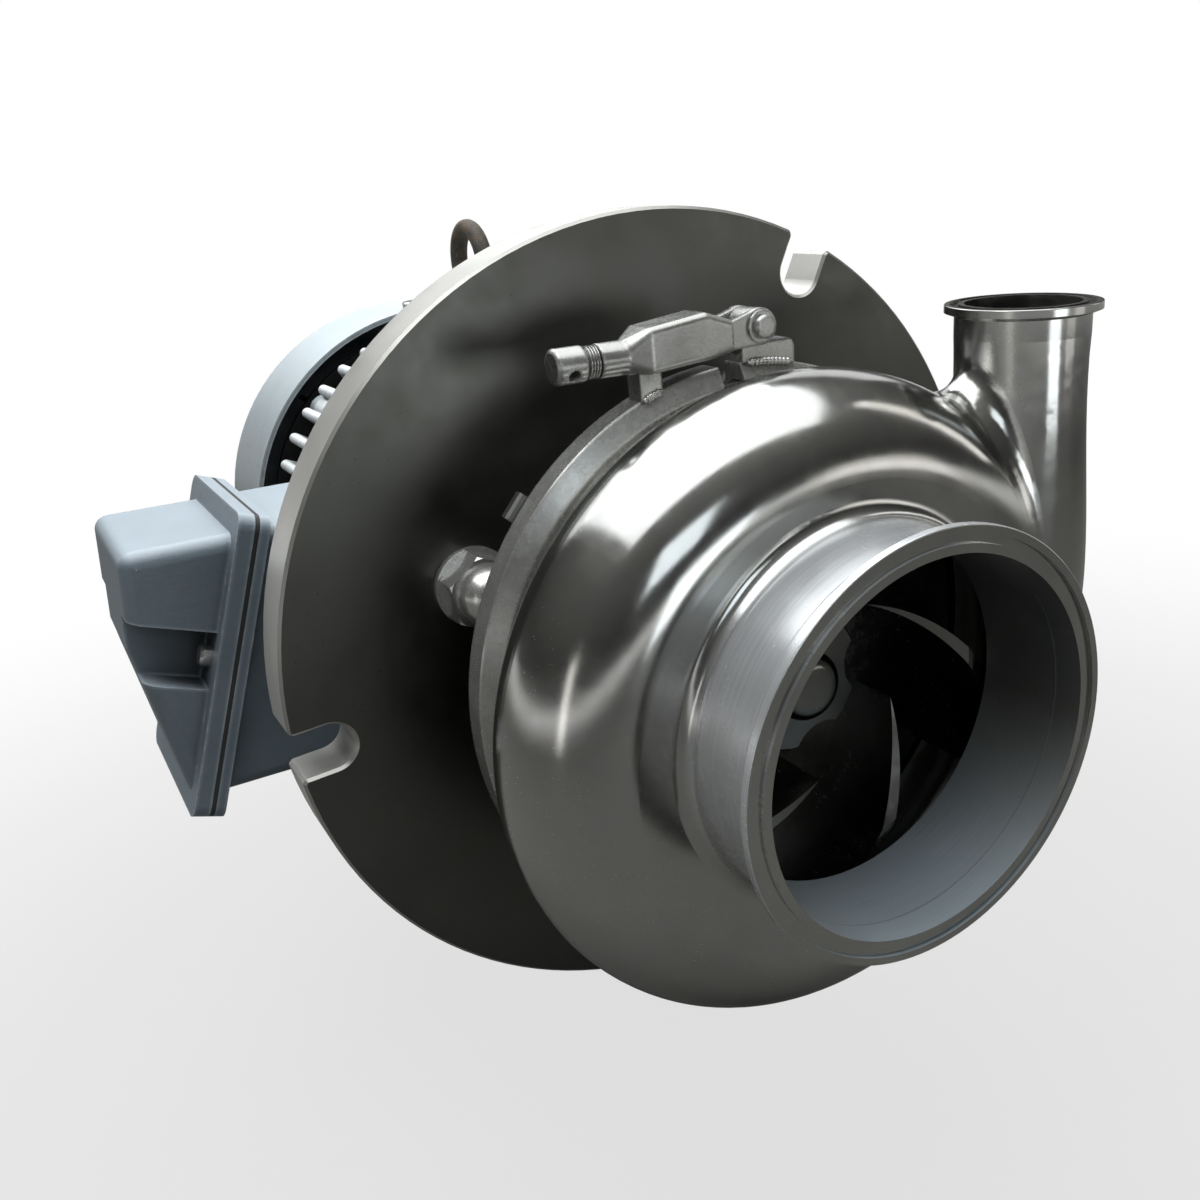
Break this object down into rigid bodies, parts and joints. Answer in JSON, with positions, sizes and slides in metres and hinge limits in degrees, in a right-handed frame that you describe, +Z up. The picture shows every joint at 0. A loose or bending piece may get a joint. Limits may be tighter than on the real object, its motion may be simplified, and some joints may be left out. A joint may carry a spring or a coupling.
{
  "type": "sanitary centrifugal pump",
  "caption": "Stainless centrifugal pump with clamp ferrules, swing-yoke band clamp, slotted mounting disc and finned flange motor.",
  "frame": {"origin": "centre of the inlet ferrule's sealing face", "axes": "+Y along the shaft from the inlet to the motor, +Z up and along the discharge, +X to the discharge's side"},
  "size_m": [0.409, 0.542, 0.368],
  "materials": {
    "stainless_polished": "polished stainless steel",
    "stainless_satin": "satin stainless steel",
    "disc_steel": "ground stainless plate",
    "clamp_steel": "satin stainless casting",
    "impeller_steel": "polished stainless casting",
    "machined_steel": "turned steel",
    "bolt_steel": "stainless fasteners",
    "eye_steel": "forged and weathered",
    "grey_paint": "satin grey paint",
    "grey_paint_box": "satin blue-grey paint",
    "frame_paint": "pale grey paint on cast iron",
    "rubber": "black seal rubber",
    "ceramic": "ceramic seal face",
    "carbon": "carbon seal face",
    "winding": "varnished copper wire",
    "fan_plastic": "moulded black"
  },
  "bodies": {
    "pump": {"inlet_ferrule": "stainless_polished", "discharge_ferrule": "stainless_polished", "volute_casing": "stainless_polished", "casing_gasket": "rubber", "back_plate": "stainless_satin", "back_plate_screws": "bolt_steel", "seal_seat": "ceramic", "seal_seat_ring": "rubber", "lantern_ring": "stainless_satin", "mounting_disc": "disc_steel", "disc_studs": "bolt_steel", "disc_washers": "bolt_steel", "disc_dome_nuts": "bolt_steel", "motor_adapter": "disc_steel", "motor_face_screws": "bolt_steel", "front_end_bell": "grey_paint", "rear_end_bell": "grey_paint", "end_bell_bolts": "bolt_steel", "motor_frame": "frame_paint", "lifting_eye": "eye_steel", "front_bearing_outer": "machined_steel", "rear_bearing_outer": "machined_steel", "stator_core": "machined_steel", "stator_windings": "winding", "fan_cover": "grey_paint", "fan_cover_screws": "bolt_steel", "conduit_box_base": "grey_paint_box", "conduit_box_gasket": "rubber", "conduit_box_cover": "grey_paint_box", "conduit_box_screws": "bolt_steel", "conduit_box_base_screws": "bolt_steel", "clamp_half_right": "clamp_steel", "clamp_hinge_pin": "clamp_steel", "clamp_lug": "clamp_steel", "yoke_pin": "clamp_steel", "yoke_washers": "clamp_steel"},
    "rotor": {"motor_shaft": "machined_steel", "stub_shaft": "stainless_satin", "shaft_key": "machined_steel", "shaft_collar": "machined_steel", "slinger": "rubber", "impeller": "impeller_steel", "impeller_nut": "impeller_steel", "seal_cup": "stainless_satin", "seal_spring": "stainless_satin", "seal_face_ring": "carbon", "front_bearing_inner": "machined_steel", "rear_bearing_inner": "machined_steel", "rotor_core": "machined_steel", "cooling_fan": "fan_plastic"},
    "clamp_half": {"clamp_half_left": "clamp_steel", "clamp_trunnion": "clamp_steel"},
    "yoke": {"clamp_yoke": "clamp_steel"},
    "screw": {"clamp_screw": "clamp_steel"}
  },
  "joints": [
    {"name": "shaft_spin", "type": "hinge", "parent": "pump", "child": "rotor", "pos_m": [0, 0.119, 0], "axis": [0, 1, 0], "continuous": true},
    {"name": "yoke_swing", "type": "hinge", "parent": "pump", "child": "yoke", "pos_m": [0.0075, 0.119, 0.1395], "axis": [0, 1, 0], "range_deg": [0, 150]},
    {"name": "screw_travel", "type": "slide", "parent": "yoke", "child": "screw", "axis": [-1, 0, 0], "range_m": [0, 0.012]},
    {"name": "clamp_opening", "type": "hinge", "parent": "pump", "child": "clamp_half", "pos_m": [0, 0.119, -0.132], "axis": [0, -1, 0], "range_deg": [0, 15]}
  ],
  "couplings": [
    {"joint": "clamp_opening", "follows": "yoke_swing", "ratio": 0.1}
  ]
}
